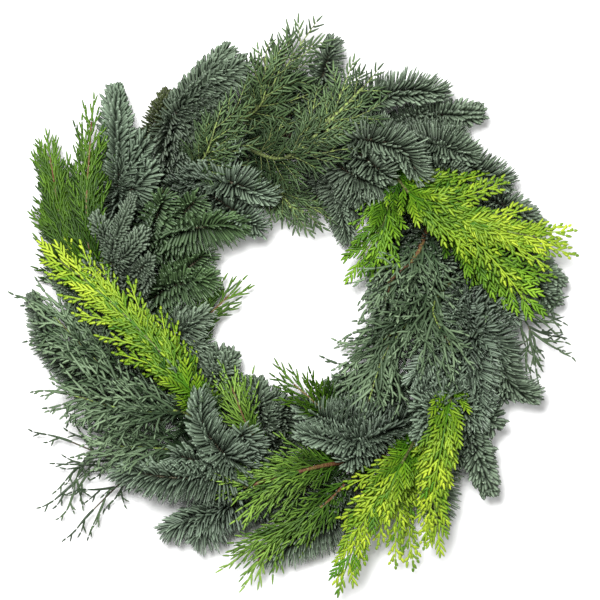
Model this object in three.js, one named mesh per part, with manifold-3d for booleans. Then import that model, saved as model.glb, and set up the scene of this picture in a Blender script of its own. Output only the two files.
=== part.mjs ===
// Fresh evergreen wreath: sprays of noble fir, golden cypress and cedar, each held
// by its stem in a clamp of a steel wreath ring. Every spray lies with its tips
// clockwise, over the stems of the next bunch.
// Millimetres, +Z up. The wreath lies face up, X to its right and Y to its top.

import * as THREE from 'three';
import { mergeVertices } from 'three/addons/utils/BufferGeometryUtils.js';
import Module from 'manifold-3d';

const wasm = await Module();
wasm.setup();

// The ring that carries the sprays
const RING_RADIUS = 175;
const RING_WIRE_WIDTH = 4;
const RING_WIRE_HEIGHT = 3;
const RING_SIDES = 28;
const CLAMP_COUNT = 14;
const CLAMP_INSIDE_WIDTH = 37;
const CLAMP_STRIP = 1.6;
const CLAMP_SINK = 0.4;
const CLAMP_LENGTH = 6;
const CLAMP_MOUTH = 9;

// Stems in the clamps
const TWIG_SIDES = 4;
const STEM_RADIUS = 3.4;
const STEM_HALF = STEM_RADIUS * Math.cos(Math.PI / TWIG_SIDES);
const STEM_TAIL = 15;
const STEM_STRAIGHT = 10;
const SEAT_GAP = 0.35;
const SLOT_PITCH = 7.2;
const MIDDLE_SLOT = 2;
const CLAMP_FLOOR = RING_WIRE_HEIGHT + CLAMP_STRIP - CLAMP_SINK;
const STEM_HEIGHT = CLAMP_FLOOR + SEAT_GAP + STEM_HALF;
const CLAMP_ROOF = STEM_HEIGHT + STEM_HALF + SEAT_GAP;

// How the sprays are piled: a layer's height is reached RISE_LENGTH past the clamp,
// and the pile is crowned over the ring and lower at both edges.
const LAYER_HEIGHT = 12;
const RISE_LENGTH = 68;
const CROWN_HALF_WIDTH = 150;
const CROWN_DROP = 0.55;
const CROWN_LEAST = 0.35;

// Foliage
const CLEARANCE = 0.35;
const FLOOR_CLEARANCE = 1;
const AXIS_STEPS = 5;
const SHOOT_STEPS = 2;
const SHOOT_BEND = 0.1;
const SHOOT_BARE = 6;
const SHOOT_ROOT_SHARE = 1.25;
const SHOOT_TIP_SHARE = 0.8;
const TIP_REACH = 16;
const LAST_PLACE = 0.985;
const FIR_TIP_RADIUS = 1.5;
const FROND_TIP_RADIUS = 1.3;
const TWIST = THREE.MathUtils.degToRad(137.5);
const FIRST_SEED = 101;
const SEED_STEP = 37;
const UP = new THREE.Vector3(0, 0, 1);

const KINDS = {
  fir: { colour: 0x5b7466, roughness: 0.75 },
  gold: { colour: 0xa4c828, roughness: 0.65 },
  green: { colour: 0x4a8f1f, roughness: 0.65 },
  cedar: { colour: 0x41663a, roughness: 0.7 },
  blue: { colour: 0x6f8f76, roughness: 0.75 },
};

// The last needles, past endPlace of the twig, stand at a share of the usual angle
const NEEDLE = {
  length: 25, radius: 0.85, pitch: 10.7, bare: 26, angle: 60, lean: 0.3, endPlace: 0.97, endShare: 0.5,
};
const FROND = {
  gold: { length: 46, endLength: 20, pitch: 22, angle: 42, leaflets: 2, leaflet: 12, rib: 0.8 },
  green: { length: 36, endLength: 18, pitch: 18.8, angle: 42, leaflets: 1, leaflet: 13, rib: 0.8 },
  cedar: { length: 34, endLength: 18, pitch: 16.5, angle: 40, leaflets: 1, leaflet: 11, rib: 0.8 },
};
const FROND_THICKNESS = 0.8;
const THREAD = { length: 36, endLength: 18, radius: 0.9, pitch: 13, angle: 44, lean: 0.12 };

// Each spray: its clamp (0 at the top, numbered clockwise) and slot (0 nearest the
// hole), its layer in the pile, the plan points that its axis passes after the clamp,
// and its side shoots as [place along the axis from 0 to 1, x and y of the tip].
const SPRAYS = [
  { name: 'fir_01', kind: 'fir', clamp: 0, slot: 4, layer: 2, path: [[22, 214], [38, 272]] },
  { name: 'fir_02', kind: 'fir', clamp: 0, slot: 3, layer: 4, path: [[66, 190], [110, 203], [162, 199]] },
  { name: 'fir_03', kind: 'fir', clamp: 0, slot: 2, layer: 5.2, path: [[55, 163], [105, 146], [130, 112]] },
  { name: 'fir_04', kind: 'fir', clamp: 0, slot: 1, layer: 3, path: [[50, 130], [110, 104]] },
  { name: 'fir_05', kind: 'fir', clamp: 0, slot: 0, layer: 1.6, path: [[34, 112], [50, 46]] },
  { name: 'fir_06', kind: 'fir', clamp: 1, slot: 4, layer: 2, path: [[130, 177], [196, 188]] },
  {
    name: 'fir_07', kind: 'fir', clamp: 1, slot: 3, layer: 3.2, path: [[130, 156], [190, 137]],
    shoots: [[0.62, 223, 121]],
  },
  { name: 'gold_1', kind: 'gold', clamp: 1, slot: 2, layer: 6, path: [[118, 101], [170, 78], [280, 54]] },
  { name: 'gold_2', kind: 'gold', clamp: 1, slot: 0, layer: 4.6, path: [[92, 88], [58, 28]] },
  { name: 'fir_08', kind: 'fir', clamp: 2, slot: 4, layer: 2.4, path: [[190, 98], [248, 71]] },
  {
    name: 'fir_09', kind: 'fir', clamp: 2, slot: 3, layer: 1.5, path: [[205, 60], [274, 12]],
    shoots: [[0.66, 264, -12]],
  },
  { name: 'gold_3', kind: 'gold', clamp: 2, slot: 2, layer: 4.2, path: [[178, 52], [242, -8]] },
  { name: 'blue_1', kind: 'blue', clamp: 2, slot: 1, layer: 3.4, path: [[122, 45], [96, 20], [88, -16]] },
  { name: 'fir_10', kind: 'fir', clamp: 2, slot: 0, layer: 1.6, path: [[106, 58], [77, -6]] },
  {
    name: 'blue_2', kind: 'blue', clamp: 3, slot: 4, layer: 2.6,
    path: [[232, -10], [245, -36], [222, -56]],
    shoots: [[0.62, 262, -16]],
  },
  { name: 'fir_11', kind: 'fir', clamp: 3, slot: 3, layer: 3, path: [[200, -40], [218, -80], [254, -95]] },
  { name: 'fir_12', kind: 'fir', clamp: 3, slot: 2, layer: 4, path: [[182, -45], [182, -132]] },
  { name: 'blue_3', kind: 'blue', clamp: 3, slot: 1, layer: 5, path: [[138, -8], [160, -58]] },
  {
    name: 'blue_4', kind: 'blue', clamp: 3, slot: 0, layer: 3.4,
    path: [[132, -2], [92, -50], [68, -118]],
    shoots: [[0.5, 58, -60]],
  },
  {
    name: 'fir_13', kind: 'fir', clamp: 4, slot: 4, layer: 2.6, path: [[178, -122], [205, -197]],
    shoots: [[0.45, 212, -132]],
  },
  {
    name: 'gold_4', kind: 'gold', clamp: 4, slot: 2, layer: 6,
    path: [[152, -118], [140, -196], [147, -254]],
  },
  { name: 'fir_14', kind: 'fir', clamp: 4, slot: 1, layer: 4.6, path: [[150, -98], [118, -144]] },
  { name: 'fir_15', kind: 'fir', clamp: 5, slot: 4, layer: 2, path: [[148, -168], [148, -238]] },
  {
    name: 'gold_5', kind: 'gold', clamp: 5, slot: 3, layer: 5,
    path: [[100, -172], [68, -222], [42, -294]],
    shoots: [[0.4, 106, -277]],
  },
  {
    name: 'fir_16', kind: 'fir', clamp: 5, slot: 1, layer: 3.6, path: [[62, -138], [-2, -134]],
    shoots: [[0.6, -4, -102]],
  },
  { name: 'fir_17', kind: 'fir', clamp: 5, slot: 0, layer: 1.6, path: [[90, -104], [32, -82]] },
  { name: 'fir_18', kind: 'fir', clamp: 6, slot: 4, layer: 1.5, path: [[50, -212], [-28, -254]] },
  {
    name: 'green_1', kind: 'green', clamp: 6, slot: 3, layer: 3,
    path: [[30, -205], [-30, -238], [-52, -284]],
  },
  {
    name: 'green_2', kind: 'green', clamp: 6, slot: 2, layer: 5, path: [[15, -168], [-66, -190]],
  },
  { name: 'green_3', kind: 'green', clamp: 6, slot: 0, layer: 5.4, path: [[30, -112], [-14, -70]] },
  {
    name: 'fir_19', kind: 'fir', clamp: 7, slot: 4, layer: 2, path: [[-64, -210], [-140, -240]],
    shoots: [[0.55, -108, -254]],
  },
  {
    name: 'fir_20', kind: 'fir', clamp: 7, slot: 3, layer: 4,
    path: [[-68, -176], [-130, -182], [-188, -176]],
  },
  {
    name: 'fir_21', kind: 'fir', clamp: 7, slot: 2, layer: 5.4,
    path: [[-62, -158], [-90, -128], [-97, -84]],
  },
  { name: 'green_4', kind: 'green', clamp: 7, slot: 1, layer: 3.4, path: [[-42, -136], [-70, -73]] },
  { name: 'fir_22', kind: 'fir', clamp: 7, slot: 0, layer: 1.6, path: [[-32, -125], [-42, -74]] },
  {
    name: 'blue_5', kind: 'blue', clamp: 8, slot: 4, layer: 1.2,
    path: [[-150, -172], [-196, -158], [-252, -140]],
    shoots: [[0.55, -215, -226]],
  },
  {
    name: 'blue_6', kind: 'blue', clamp: 8, slot: 3, layer: 4.2, path: [[-125, -150], [-196, -144]],
  },
  {
    name: 'blue_7', kind: 'blue', clamp: 8, slot: 2, layer: 5.2,
    path: [[-110, -112], [-152, -112], [-240, -86]],
  },
  {
    name: 'gold_6', kind: 'gold', clamp: 8, slot: 1, layer: 6.2,
    path: [[-94, -106], [-126, -60], [-184, 0], [-247, 50]],
  },
  { name: 'fir_23', kind: 'fir', clamp: 8, slot: 0, layer: 1.8, path: [[-82, -108], [-62, -46]] },
  {
    name: 'fir_24', kind: 'fir', clamp: 9, slot: 4, layer: 2,
    path: [[-200, -94], [-247, -48], [-268, 14]],
  },
  {
    name: 'blue_8', kind: 'blue', clamp: 9, slot: 3, layer: 3.6,
    path: [[-196, -64], [-226, -32], [-254, -4]],
  },
  {
    name: 'fir_25', kind: 'fir', clamp: 9, slot: 2, layer: 3.0,
    path: [[-180, -40], [-200, 4], [-196, 46]],
    shoots: [[0.75, -248, 26]],
  },
  { name: 'fir_26', kind: 'fir', clamp: 9, slot: 1, layer: 2.8, path: [[-128, -48], [-88, -4]] },
  { name: 'green_5', kind: 'green', clamp: 9, slot: 0, layer: 1.4, path: [[-104, -34], [-54, 18]] },
  { name: 'green_6', kind: 'green', clamp: 10, slot: 4, layer: 2.8, path: [[-224, 50], [-246, 162]] },
  { name: 'green_7', kind: 'green', clamp: 10, slot: 3, layer: 5.0, path: [[-206, 55], [-203, 198]] },
  { name: 'fir_27', kind: 'fir', clamp: 10, slot: 2, layer: 5.6, path: [[-182, 40], [-158, 112]] },
  { name: 'fir_28', kind: 'fir', clamp: 10, slot: 0, layer: 2.4, path: [[-132, 8], [-78, 24]] },
  { name: 'fir_29', kind: 'fir', clamp: 11, slot: 4, layer: 3, path: [[-176, 112], [-178, 216]] },
  { name: 'fir_30', kind: 'fir', clamp: 11, slot: 0, layer: 3.6, path: [[-120, 70], [-40, 83]] },
  { name: 'fir_31', kind: 'fir', clamp: 12, slot: 4, layer: 2, path: [[-148, 158], [-126, 216]] },
  { name: 'fir_32', kind: 'fir', clamp: 12, slot: 3, layer: 4, path: [[-124, 178], [-65, 258]] },
  {
    name: 'cedar_1', kind: 'cedar', clamp: 12, slot: 2, layer: 5.6, path: [[-92, 140], [-72, 190]],
  },
  { name: 'fir_33', kind: 'fir', clamp: 12, slot: 1, layer: 4.4, path: [[-86, 122], [-13, 99]] },
  {
    name: 'cedar_2', kind: 'cedar', clamp: 13, slot: 4, layer: 4, path: [[-34, 196], [-28, 265]],
    shoots: [[0.5, 22, 283]],
  },
  {
    name: 'cedar_3', kind: 'cedar', clamp: 13, slot: 2, layer: 6,
    path: [[-12, 150], [36, 182], [81, 224]],
  },
  { name: 'cedar_4', kind: 'cedar', clamp: 13, slot: 0, layer: 3, path: [[-36, 128], [2, 94]] },
];

function seededRandom(seed) {
  let state = seed;
  return () => {
    state = (state * 16807) % 2147483647;
    return state / 2147483647;
  };
}

// A closed geometry as a solid that can be joined
function solidOf(geometry) {
  geometry.deleteAttribute('normal');
  geometry.deleteAttribute('uv');
  const welded = mergeVertices(geometry);
  return new wasm.Manifold(new wasm.Mesh({
    numProp: 3,
    vertProperties: new Float32Array(welded.attributes.position.array),
    triVerts: new Uint32Array(welded.index.array),
  }));
}

function meshOf(name, solid, material) {
  const { vertProperties, triVerts } = solid.getMesh();
  const geometry = new THREE.BufferGeometry();
  geometry.setAttribute('position', new THREE.BufferAttribute(new Float32Array(vertProperties), 3));
  geometry.setIndex(new THREE.BufferAttribute(new Uint32Array(triVerts), 1));
  geometry.computeVertexNormals();
  const mesh = new THREE.Mesh(geometry, material);
  mesh.name = name;
  return mesh;
}

// ---- Ring and clamps ----

function clampFrame(clamp) {
  const angle = Math.PI / 2 - (clamp * 2 * Math.PI) / CLAMP_COUNT;
  const radial = new THREE.Vector3(Math.cos(angle), Math.sin(angle), 0);
  const clockwise = new THREE.Vector3().crossVectors(radial, UP);
  return { radial, clockwise };
}

function ringWire() {
  const inner = RING_RADIUS - RING_WIRE_WIDTH / 2;
  const outer = RING_RADIUS + RING_WIRE_WIDTH / 2;
  const section = [
    new THREE.Vector2(inner, 0),
    new THREE.Vector2(outer, 0),
    new THREE.Vector2(outer, RING_WIRE_HEIGHT),
    new THREE.Vector2(inner, RING_WIRE_HEIGHT),
    new THREE.Vector2(inner, 0),
  ];
  const geometry = new THREE.LatheGeometry(section, RING_SIDES);
  geometry.rotateX(Math.PI / 2);
  return solidOf(geometry);
}

// A flat strip bent into a loop over the stems, its two prongs nearly meeting on top
function clampLoop(clamp) {
  const inside = CLAMP_INSIDE_WIDTH / 2;
  const outside = inside + CLAMP_STRIP;
  const bottom = CLAMP_FLOOR - CLAMP_STRIP;
  const top = CLAMP_ROOF + CLAMP_STRIP;
  const mouth = CLAMP_MOUTH / 2;
  const outline = new THREE.Shape([
    new THREE.Vector2(-outside, bottom),
    new THREE.Vector2(outside, bottom),
    new THREE.Vector2(outside, top),
    new THREE.Vector2(mouth, top),
    new THREE.Vector2(mouth, CLAMP_ROOF),
    new THREE.Vector2(inside, CLAMP_ROOF),
    new THREE.Vector2(inside, CLAMP_FLOOR),
    new THREE.Vector2(-inside, CLAMP_FLOOR),
    new THREE.Vector2(-inside, CLAMP_ROOF),
    new THREE.Vector2(-mouth, CLAMP_ROOF),
    new THREE.Vector2(-mouth, top),
    new THREE.Vector2(-outside, top),
  ]);
  const geometry = new THREE.ExtrudeGeometry(outline, { depth: CLAMP_LENGTH, bevelEnabled: false });
  geometry.translate(0, 0, -CLAMP_LENGTH / 2);
  const { radial, clockwise } = clampFrame(clamp);
  const place = new THREE.Matrix4().makeBasis(radial, UP, clockwise);
  place.setPosition(radial.clone().multiplyScalar(RING_RADIUS));
  geometry.applyMatrix4(place);
  return solidOf(geometry);
}

function clampRing() {
  const pieces = [ringWire()];
  for (let clamp = 0; clamp < CLAMP_COUNT; clamp++) pieces.push(clampLoop(clamp));
  return wasm.Manifold.union(pieces);
}

// ---- Axes of the sprays ----

function heightAt(x, y, travel, layer) {
  const rise = Math.min(Math.max(travel / RISE_LENGTH, 0), 1);
  const ease = rise * rise * (3 - 2 * rise);
  const offRing = (Math.hypot(x, y) - RING_RADIUS) / CROWN_HALF_WIDTH;
  const crown = Math.max(1 - CROWN_DROP * offRing * offRing, CROWN_LEAST);
  return STEM_HEIGHT + layer * LAYER_HEIGHT * ease * crown;
}

// A plan point TIP_REACH short of the tip, because the last needles reach on past it
function shortOf(tip, before) {
  return tip.clone().sub(before).setLength(tip.distanceTo(before) - TIP_REACH).add(before);
}

// The axis runs straight through the clamp, then over the plan points of the table
class SprayAxis extends THREE.Curve {
  constructor(spray) {
    super();
    const { radial, clockwise } = clampFrame(spray.clamp);
    const reach = RING_RADIUS + (spray.slot - MIDDLE_SLOT) * SLOT_PITCH;
    this.layer = spray.layer;
    this.clockwise = clockwise;
    this.seat = radial.clone().multiplyScalar(reach);
    const points = spray.path.map(([x, y]) => new THREE.Vector3(x, y, 0));
    points.push(shortOf(points.pop(), points.at(-1)));
    this.plan = new THREE.CatmullRomCurve3([
      this.seat.clone().addScaledVector(clockwise, -STEM_TAIL),
      this.seat.clone(),
      this.seat.clone().addScaledVector(clockwise, STEM_STRAIGHT),
      ...points,
    ]);
  }

  getPoint(t) {
    const point = this.plan.getPoint(t);
    const offset = point.clone().sub(this.seat);
    const past = offset.dot(this.clockwise) > 0 ? offset.length() - STEM_STRAIGHT : 0;
    point.z = heightAt(point.x, point.y, past, this.layer);
    return point;
  }
}

function shootCurve(axis, [place, x, y], layer) {
  const root = axis.getPoint(place);
  const tip = shortOf(new THREE.Vector3(x, y, heightAt(x, y, RISE_LENGTH, layer)), root);
  const bend = root.clone().addScaledVector(axis.getTangent(place), root.distanceTo(tip) * SHOOT_BEND);
  return new THREE.QuadraticBezierCurve3(root, bend, tip);
}

// ---- Foliage ----

function sideways(direction) {
  return new THREE.Vector3().crossVectors(direction, UP).normalize();
}

// A twig's centre line: the straight stretch given, then equal steps along the curve
function centreLine(curve, straight, steps) {
  const line = new THREE.CurvePath();
  let from = curve.getPointAt(0);
  for (let step = 0; step < steps; step++) {
    const to = curve.getPointAt(THREE.MathUtils.lerp(straight, 1, step / (steps - 1)));
    line.add(new THREE.LineCurve3(from, to));
    from = to;
  }
  return line;
}

// A twig of TWIG_SIDES sides round its centre line, thinner at its end. A flat side
// faces sideways, where branchlets grow.
function taperedRod(line, rootRadius, tipRadius) {
  const lengths = [0, ...line.getCurveLengths()];
  const steps = line.curves.length;
  const flatSide = Math.PI / TWIG_SIDES;
  const geometry = new THREE.CylinderGeometry(tipRadius, rootRadius, 1, TWIG_SIDES, steps, false, flatSide);
  const position = geometry.attributes.position;
  for (let i = 0; i < position.count; i++) {
    const step = Math.round((position.getY(i) + 0.5) * steps);
    const along = lengths[step] / lengths[steps];
    const tangent = line.getTangent(along);
    const side = sideways(tangent);
    const lift = new THREE.Vector3().crossVectors(side, tangent);
    const point = line.getPoint(along);
    point.addScaledVector(side, position.getX(i)).addScaledVector(lift, position.getZ(i));
    position.setXYZ(i, point.x, point.y, point.z);
  }
  return solidOf(geometry);
}

// A straight three-sided needle with its root on the twig's centre line
function needle(root, direction, length, radius) {
  const geometry = new THREE.ConeGeometry(radius, length, 3, 1);
  geometry.translate(0, length / 2, 0);
  const alongNeedle = new THREE.Vector3(0, 1, 0);
  geometry.applyQuaternion(new THREE.Quaternion().setFromUnitVectors(alongNeedle, direction));
  geometry.translate(root.x, root.y, root.z);
  return solidOf(geometry);
}

// A flat branchlet in one thin outline: slim leaflets that point forward, cut to the rib
function branchlet(root, direction, side, length, style) {
  const right = [];
  const left = [];
  for (let leaflet = 0; leaflet < style.leaflets; leaflet++) {
    const notch = (length * (leaflet + 0.75)) / (style.leaflets + 0.9);
    const size = style.leaflet * (1 - (0.4 * leaflet) / style.leaflets);
    const stagger = length * 0.08;
    right.push(new THREE.Vector2(notch + size * 0.72, size * 0.7));
    right.push(new THREE.Vector2(notch, style.rib));
    left.push(new THREE.Vector2(notch + stagger + size * 0.72, -size * 0.7));
    left.push(new THREE.Vector2(notch + stagger, -style.rib));
  }
  const outline = [new THREE.Vector2(0, 0), ...left, new THREE.Vector2(length, 0), ...right.reverse()];
  const geometry = new THREE.ExtrudeGeometry(new THREE.Shape(outline), {
    depth: FROND_THICKNESS,
    bevelEnabled: false,
  });
  geometry.translate(0, 0, -FROND_THICKNESS / 2);
  const face = new THREE.Vector3().crossVectors(direction, side).normalize();
  const across = new THREE.Vector3().crossVectors(face, direction);
  geometry.applyMatrix4(new THREE.Matrix4().makeBasis(direction, across, face).setPosition(root));
  return solidOf(geometry);
}

// Needles all round a twig in a spiral, each with ways to bend clear of its neighbours
function firNeedles(curve, bare, random) {
  const needles = [];
  const length = curve.getLength();
  const count = Math.max(Math.round((length - bare) / NEEDLE.pitch), 3);
  for (let i = 0; i <= count; i++) {
    const place = Math.min((bare + ((length - bare) * i) / count) / length, 1);
    const tangent = curve.getTangent(place);
    const side = sideways(tangent);
    const lift = new THREE.Vector3().crossVectors(side, tangent);
    const turn = i * TWIST + random() * 0.5;
    const size = NEEDLE.length * (0.88 + 0.2 * random()) * (1 - 0.2 * place);
    const root = curve.getPoint(Math.min(place, LAST_PLACE));
    const way = (angle, spin, share) => {
      const spread = THREE.MathUtils.degToRad(angle * (place > NEEDLE.endPlace ? NEEDLE.endShare : 1));
      const outward = side.clone().multiplyScalar(Math.cos(turn + spin));
      outward.addScaledVector(lift, Math.sin(turn + spin) + NEEDLE.lean);
      const direction = tangent.clone().multiplyScalar(Math.cos(spread));
      direction.addScaledVector(outward.normalize(), Math.sin(spread));
      return needle(root, direction.normalize(), size * share, NEEDLE.radius);
    };
    needles.push([
      () => way(NEEDLE.angle, 0, 1),
      () => way(NEEDLE.angle * 0.7, 0.5, 1),
      () => way(NEEDLE.angle * 0.7, -0.7, 0.95),
      () => way(NEEDLE.angle * 0.5, 1.2, 0.85),
      () => way(NEEDLE.angle, 2.4, 0.75),
    ]);
  }
  return needles;
}

// Flat branchlets on alternate sides of a twig, shorter towards its tip
function frondBranchlets(curve, bare, style, random) {
  const branchlets = [];
  const length = curve.getLength();
  const count = Math.max(Math.round((length - bare) / style.pitch), 3);
  for (let i = 0; i <= count; i++) {
    const place = Math.min((bare + ((length - bare) * i) / count) / length, LAST_PLACE);
    const tangent = curve.getTangent(place);
    const side = sideways(tangent);
    const lift = new THREE.Vector3().crossVectors(side, tangent);
    const hand = i % 2 === 0 ? 1 : -1;
    const tip = i === count;
    const size = THREE.MathUtils.lerp(style.length, style.endLength, i / count) * (0.9 + 0.2 * random());
    const tilt = 0.25 * (random() - 0.4);
    const root = curve.getPoint(place);
    const way = (angle, rise, share) => {
      const spread = THREE.MathUtils.degToRad(tip ? 4 : angle);
      const direction = tangent.clone().multiplyScalar(Math.cos(spread));
      direction.addScaledVector(side, Math.sin(spread) * hand);
      direction.addScaledVector(lift, rise).normalize();
      const flat = side.clone().multiplyScalar(Math.cos(spread));
      flat.addScaledVector(tangent, -Math.sin(spread) * hand);
      return branchlet(root, direction, flat, size * share, style);
    };
    branchlets.push([
      () => way(style.angle, tilt, 1),
      () => way(style.angle * 0.8, tilt + 0.28, 0.95),
      () => way(style.angle * 1.2, tilt - 0.28, 0.85),
      () => way(style.angle * 0.6, tilt + 0.5, 0.7),
      () => way(style.angle, tilt, 0.55),
    ]);
  }
  return branchlets;
}

// Thin round threads on alternate sides of a twig
function threadTwigs(curve, bare, random) {
  const threads = [];
  const length = curve.getLength();
  const count = Math.max(Math.round((length - bare) / THREAD.pitch), 3);
  for (let i = 0; i <= count; i++) {
    const place = Math.min((bare + ((length - bare) * i) / count) / length, LAST_PLACE);
    const tangent = curve.getTangent(place);
    const side = sideways(tangent);
    const lift = new THREE.Vector3().crossVectors(side, tangent);
    const hand = i % 2 === 0 ? 1 : -1;
    const size = THREE.MathUtils.lerp(THREAD.length, THREAD.endLength, i / count) * (0.85 + 0.3 * random());
    const root = curve.getPoint(place);
    const way = (angle, rise, share) => {
      const spread = THREE.MathUtils.degToRad(angle);
      const direction = tangent.clone().multiplyScalar(Math.cos(spread));
      direction.addScaledVector(side, Math.sin(spread) * hand);
      direction.addScaledVector(lift, THREAD.lean + rise).normalize();
      return needle(root, direction, size * share, THREAD.radius);
    };
    threads.push([
      () => way(THREAD.angle, 0, 1),
      () => way(THREAD.angle * 0.7, 0.3, 1),
      () => way(THREAD.angle * 1.3, -0.3, 0.9),
      () => way(THREAD.angle * 0.5, 0.5, 0.7),
    ]);
  }
  return threads;
}

function foliageOn(curve, kind, bare, random) {
  if (kind === 'fir') return firNeedles(curve, bare, random);
  if (kind === 'blue') return threadTwigs(curve, bare, random);
  return frondBranchlets(curve, bare, FROND[kind], random);
}

// ---- Assembly ----

function boxesMeet(a, b) {
  for (let axis = 0; axis < 3; axis++) {
    if (a.min[axis] > b.max[axis] + CLEARANCE) return false;
    if (b.min[axis] > a.max[axis] + CLEARANCE) return false;
  }
  return true;
}

function isClear(piece, own, bodies) {
  const box = piece.boundingBox();
  if (box.min[2] < FLOOR_CLEARANCE) return false;
  for (const [name, body] of bodies) {
    if (name === own || !boxesMeet(box, body.box)) continue;
    if (piece.minGap(body.solid, CLEARANCE) < CLEARANCE) return false;
  }
  return true;
}

function addBody(bodies, name, solid) {
  bodies.set(name, { solid, box: solid.boundingBox() });
}

function twigsOf(spray) {
  const curve = new SprayAxis(spray);
  const axis = centreLine(curve, (STEM_TAIL + STEM_STRAIGHT) / curve.getLength(), AXIS_STEPS);
  const shoots = (spray.shoots ?? []).map((shoot) => {
    return centreLine(shootCurve(axis, shoot, spray.layer), 1 / SHOOT_STEPS, SHOOT_STEPS);
  });
  return { axis, shoots };
}

function bareTwigs({ axis, shoots }, kind) {
  const slim = kind === 'fir' ? FIR_TIP_RADIUS : FROND_TIP_RADIUS;
  const pieces = [taperedRod(axis, STEM_RADIUS, slim)];
  for (const shoot of shoots) {
    pieces.push(taperedRod(shoot, slim * SHOOT_ROOT_SHARE, slim * SHOOT_TIP_SHARE));
  }
  return wasm.Manifold.union(pieces);
}

// Twigs first, so that no needle takes a neighbour's place, then the foliage of the
// topmost layers before that of the lower ones.
function growSprays(bodies) {
  const twigs = new Map();
  SPRAYS.forEach((spray) => {
    twigs.set(spray.name, twigsOf(spray));
    addBody(bodies, spray.name, bareTwigs(twigs.get(spray.name), spray.kind));
  });
  const fromTheTop = [...SPRAYS].sort((a, b) => b.layer - a.layer);
  for (const spray of fromTheTop) {
    const random = seededRandom(FIRST_SEED + SEED_STEP * SPRAYS.indexOf(spray));
    const { axis, shoots } = twigs.get(spray.name);
    const foliage = foliageOn(axis, spray.kind, STEM_TAIL + NEEDLE.bare, random);
    shoots.forEach((shoot) => foliage.push(...foliageOn(shoot, spray.kind, SHOOT_BARE, random)));
    const kept = [bodies.get(spray.name).solid];
    for (const ways of foliage) {
      for (const way of ways) {
        const piece = way();
        if (!isClear(piece, spray.name, bodies)) continue;
        kept.push(piece);
        break;
      }
    }
    addBody(bodies, spray.name, wasm.Manifold.union(kept));
  }
}

function materialOf({ colour, roughness, metalness = 0 }) {
  return new THREE.MeshStandardMaterial({ color: colour, roughness, metalness });
}

function buildWreath() {
  const bodies = new Map();
  addBody(bodies, 'clamp_ring', clampRing());
  growSprays(bodies);
  const wreath = new THREE.Group();
  const steel = materialOf({ colour: 0x2f4a35, roughness: 0.45, metalness: 0.2 });
  wreath.add(meshOf('clamp_ring', bodies.get('clamp_ring').solid, steel));
  for (const { name, kind } of SPRAYS) {
    wreath.add(meshOf(name, bodies.get(name).solid, materialOf(KINDS[kind])));
  }
  const box = new THREE.Box3().setFromObject(wreath);
  const centre = box.getCenter(new THREE.Vector3());
  wreath.position.set(-centre.x, -centre.y, -box.min.z);
  return wreath;
}

export default buildWreath();
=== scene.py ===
"""A fresh evergreen wreath of noble fir, golden cypress and cedar, lying face up.

Each spray leaves its clamp on the wreath ring along the line of its solid, and carries
needles, scale-leaf branchlets or threads. Lengths are millimetres until a mesh is
made, and metres for the camera, floor and lamps. Plan points are measured from the
middle of the ring, X to the right and Y to the wreath's top.
"""
import math

import bmesh
import bpy
import numpy as np
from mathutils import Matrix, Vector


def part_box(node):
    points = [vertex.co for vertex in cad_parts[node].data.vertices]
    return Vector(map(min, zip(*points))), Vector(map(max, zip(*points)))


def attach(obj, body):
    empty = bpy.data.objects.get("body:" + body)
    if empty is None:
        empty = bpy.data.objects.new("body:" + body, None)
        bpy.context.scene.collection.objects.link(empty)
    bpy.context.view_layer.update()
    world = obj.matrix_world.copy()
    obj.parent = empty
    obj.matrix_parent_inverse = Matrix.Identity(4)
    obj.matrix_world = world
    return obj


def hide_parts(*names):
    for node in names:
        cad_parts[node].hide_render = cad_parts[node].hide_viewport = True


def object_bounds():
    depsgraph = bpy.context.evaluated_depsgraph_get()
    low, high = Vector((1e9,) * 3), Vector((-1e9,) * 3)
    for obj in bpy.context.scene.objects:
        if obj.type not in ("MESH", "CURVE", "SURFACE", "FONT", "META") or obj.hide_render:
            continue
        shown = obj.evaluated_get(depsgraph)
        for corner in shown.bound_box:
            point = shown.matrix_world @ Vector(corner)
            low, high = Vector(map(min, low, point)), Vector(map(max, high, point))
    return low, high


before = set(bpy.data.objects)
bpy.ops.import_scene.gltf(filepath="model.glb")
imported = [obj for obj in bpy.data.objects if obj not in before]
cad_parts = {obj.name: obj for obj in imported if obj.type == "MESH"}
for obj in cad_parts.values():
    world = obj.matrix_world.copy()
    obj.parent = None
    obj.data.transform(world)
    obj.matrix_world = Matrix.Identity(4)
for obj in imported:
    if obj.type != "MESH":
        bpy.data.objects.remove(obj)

MM = 0.001
CAD_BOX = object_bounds()
RING_LOW, RING_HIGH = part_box("clamp_ring")
RING_MIDDLE = np.array([(RING_LOW[0] + RING_HIGH[0]) / 2, (RING_LOW[1] + RING_HIGH[1]) / 2, 0]) / MM
UP = np.array([0.0, 0.0, 1.0])

# The ring's clamps and their slots, and the stems that lie in them
RING_RADIUS = 175
CLAMP_COUNT = 14
SLOT_PITCH = 7.2
MIDDLE_SLOT = 2
STEM_RADIUS = 3.4
STEM_TAIL = 15
STEM_STRAIGHT = 10
STEM_HEIGHT = 6.95

# How a spray rises to its layer of the pile, which is lower towards both edges, and how
# far along the axis a fan leaves when it gets to the layer's whole height
LAYER_HEIGHT = 12
RISE_LENGTH = 68
FAN_FULL_HEIGHT = 0.5
CROWN_HALF_WIDTH = 150
CROWN_DROP = 0.55
CROWN_LEAST = 0.35

# How far foliage reaches past the ends of stems and fans, and how long shoots, side
# twigs and fans keep their first direction, as a share of their length
TIP_REACH = 14
FAN_TIP_REACH = 9
SHOOT_BEND = 0.1
TWIG_BEND = 0.5
FAN_BEND = 0.45

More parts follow.
